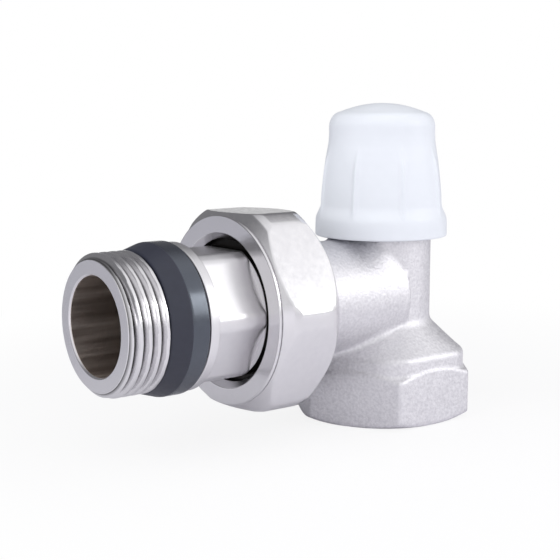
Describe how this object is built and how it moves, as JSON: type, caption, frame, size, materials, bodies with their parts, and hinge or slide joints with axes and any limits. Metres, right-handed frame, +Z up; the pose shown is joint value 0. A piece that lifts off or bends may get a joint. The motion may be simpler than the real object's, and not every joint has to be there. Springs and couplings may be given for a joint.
{
  "type": "lockshield valve",
  "caption": "Angle radiator lockshield valve: plated body with female inlet, screwed spindle under a plastic cap, and a union nut with a self-sealing threaded tail.",
  "frame": {"origin": "centre of the inlet face, on the spindle axis", "axes": "+Z up along the spindle axis towards the cap; -X along the tail axis towards the radiator"},
  "size_m": [0.0886, 0.0422, 0.0654],
  "materials": {
    "plated_body": "satin nickel plate on a blasted forging",
    "plated_machined": "bright nickel plate on turned and milled faces",
    "machined_brass": "turned, bare",
    "spring_steel": "bright",
    "white_plastic": "soft gloss moulding",
    "grey_rubber": "semi-gloss",
    "black_rubber": "matt",
    "ptfe": "matt"
  },
  "bodies": {
    "body": {"valve_body": "plated_body", "bonnet": "machined_brass", "bonnet_gasket": "black_rubber", "gland_nut": "machined_brass", "gland_washer": "ptfe"},
    "cap": {"cap": "white_plastic"},
    "plug": {"valve_disc": "machined_brass", "disc_clip": "spring_steel", "disc_washer": "black_rubber", "disc_screw": "spring_steel"},
    "spindle": {"spindle": "machined_brass", "spindle_o_ring_lower": "black_rubber", "spindle_o_ring_upper": "black_rubber", "spindle_circlip": "spring_steel"},
    "tail": {"tailpiece": "plated_machined", "tail_seal_ring": "grey_rubber", "union_o_ring": "black_rubber"},
    "nut": {"union_nut": "plated_machined"}
  },
  "joints": [
    {"name": "cap_lift", "type": "slide", "parent": "body", "child": "cap", "axis": [0, 0, 1], "range_m": [0, 0.03]},
    {"name": "plug_lift", "type": "slide", "parent": "body", "child": "plug", "axis": [0, 0, 1], "range_m": [0, 0.00375]},
    {"name": "spindle_turn", "type": "hinge", "parent": "plug", "child": "spindle", "pos_m": [0, 0, 0.04], "axis": [0, 0, 1], "range_deg": [0, 1080]},
    {"name": "tail_slide", "type": "slide", "parent": "body", "child": "tail", "axis": [-1, 0, 0], "range_m": [0, 0.00924]},
    {"name": "nut_turn", "type": "hinge", "parent": "tail", "child": "nut", "pos_m": [-0.034, 0, 0.02592], "axis": [-1, 0, 0], "range_deg": [0, 1440]}
  ],
  "couplings": [
    {"joint": "spindle_turn", "follows": "plug_lift", "rad_per_m": 5026.5},
    {"joint": "nut_turn", "follows": "tail_slide", "rad_per_m": 2721.2}
  ]
}
